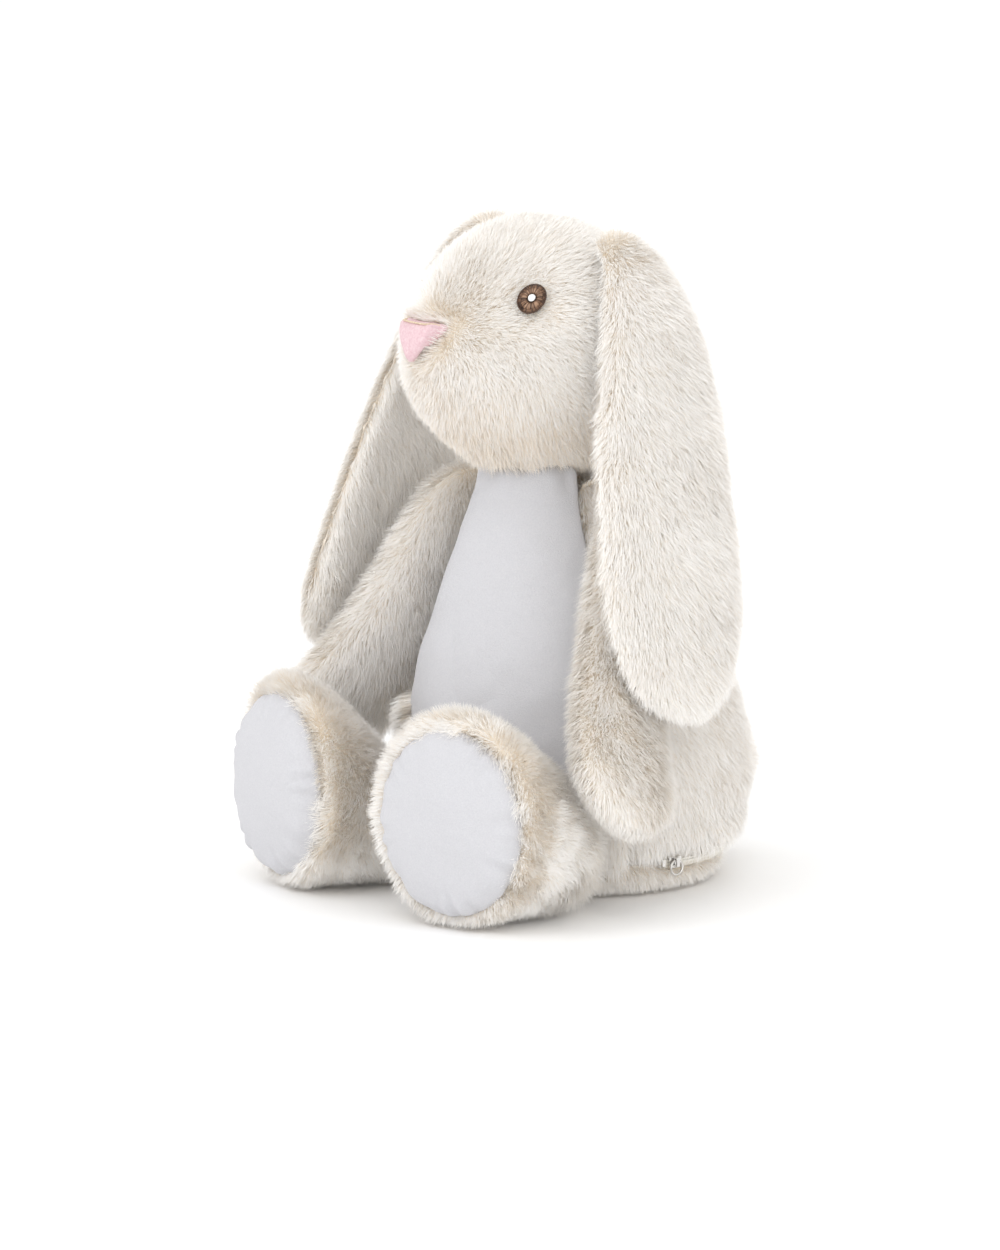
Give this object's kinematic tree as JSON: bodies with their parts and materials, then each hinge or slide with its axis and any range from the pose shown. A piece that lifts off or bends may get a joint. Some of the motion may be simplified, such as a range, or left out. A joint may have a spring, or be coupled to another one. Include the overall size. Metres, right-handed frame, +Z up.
{
  "type": "plush rabbit",
  "caption": "Seated soft toy rabbit in long-pile fur with hanging ears, velour tummy, nose and soles, hinged limbs and a zip round the back of its seat.",
  "frame": {"origin": "middle of the flat seat, on the floor", "axes": "+Z up, -Y the way the toy faces, +X the toy's left"},
  "size_m": [0.2568, 0.2511, 0.319],
  "materials": {
    "fur_fabric": "long soft plush pile, cream",
    "tummy_velour": "short-pile velour, off-white",
    "sole_velour": "short-pile velour, off-white",
    "nose_velour": "short-pile velour, pale pink",
    "eye_thread": "brown satin stitch",
    "glint_thread": "white satin stitch",
    "zip_tape": "woven zip tape, cream",
    "zip_teeth": "moulded coil teeth, cream",
    "zip_metal": "bright nickel plate",
    "polyester_filling": "loose white fibre in a thin liner"
  },
  "bodies": {
    "body": {"back_panel_left": "fur_fabric", "back_panel_right": "fur_fabric", "tummy_panel": "tummy_velour", "body_pod": "polyester_filling", "seat_panel": "fur_fabric", "tail_cover": "fur_fabric", "tail_filling": "polyester_filling", "zip_tape_upper": "zip_tape", "zip_tape_lower": "zip_tape", "zip_teeth_upper": "zip_teeth", "zip_teeth_lower": "zip_teeth", "zip_stop_left": "zip_metal", "zip_stop_right": "zip_metal"},
    "zip_slider": {"zip_slider": "zip_metal"},
    "zip_pull_ring": {"zip_pull_ring": "zip_metal"},
    "head": {"head_gusset": "fur_fabric", "head_side_left": "fur_fabric", "head_side_right": "fur_fabric", "head_filling": "polyester_filling", "nose_patch": "nose_velour", "eye_left": "eye_thread", "eye_right": "eye_thread", "eye_glint_left": "glint_thread", "eye_glint_right": "glint_thread"},
    "ear_left": {"ear_outer_left": "fur_fabric", "ear_lining_left": "fur_fabric"},
    "arm_left": {"arm_outer_left": "fur_fabric", "arm_inner_left": "fur_fabric", "arm_filling_left": "polyester_filling"},
    "leg_left": {"leg_cover_left": "fur_fabric", "sole_pad_left": "sole_velour", "leg_filling_left": "polyester_filling"},
    "ear_right": {"ear_outer_right": "fur_fabric", "ear_lining_right": "fur_fabric"},
    "arm_right": {"arm_outer_right": "fur_fabric", "arm_inner_right": "fur_fabric", "arm_filling_right": "polyester_filling"},
    "leg_right": {"leg_cover_right": "fur_fabric", "sole_pad_right": "sole_velour", "leg_filling_right": "polyester_filling"}
  },
  "joints": [
    {"name": "neck_nod", "type": "hinge", "parent": "body", "child": "head", "pos_m": [0, -0.027, 0.222], "axis": [1, 0, 0], "range_deg": [-10, 8], "stiffness_Nm_per_rad": 1.5},
    {"name": "ear_left_lift", "type": "hinge", "parent": "head", "child": "ear_left", "pos_m": [0.034, -0.018, 0.309], "axis": [0, -1, 0], "range_deg": [0, 100]},
    {"name": "arm_left_raise", "type": "hinge", "parent": "body", "child": "arm_left", "pos_m": [0.062, -0.02, 0.171], "axis": [-0.9418, -0.2002, -0.2701], "range_deg": [0, 75]},
    {"name": "leg_left_raise", "type": "hinge", "parent": "body", "child": "leg_left", "pos_m": [0.05, -0.072, 0.07], "axis": [-0.9781, -0.2079, 0], "range_deg": [0, 35]},
    {"name": "ear_right_lift", "type": "hinge", "parent": "head", "child": "ear_right", "pos_m": [-0.034, -0.018, 0.309], "axis": [0, 1, 0], "range_deg": [0, 100]},
    {"name": "arm_right_raise", "type": "hinge", "parent": "body", "child": "arm_right", "pos_m": [-0.062, -0.02, 0.171], "axis": [-0.9418, 0.2002, 0.2701], "range_deg": [0, 75]},
    {"name": "leg_right_raise", "type": "hinge", "parent": "body", "child": "leg_right", "pos_m": [-0.05, -0.072, 0.07], "axis": [-0.9781, 0.2079, 0], "range_deg": [0, 35]},
    {"name": "zip_travel", "type": "hinge", "parent": "body", "child": "zip_slider", "pos_m": [0, 0, 0.016], "axis": [0, 0, 1], "range_deg": [0, 180]},
    {"name": "pull_ring_swing", "type": "hinge", "parent": "zip_slider", "child": "zip_pull_ring", "pos_m": [0.07226, -0.00252, 0.0171], "axis": [-0.0349, -0.9994, 0], "range_deg": [0, 90]}
  ]
}
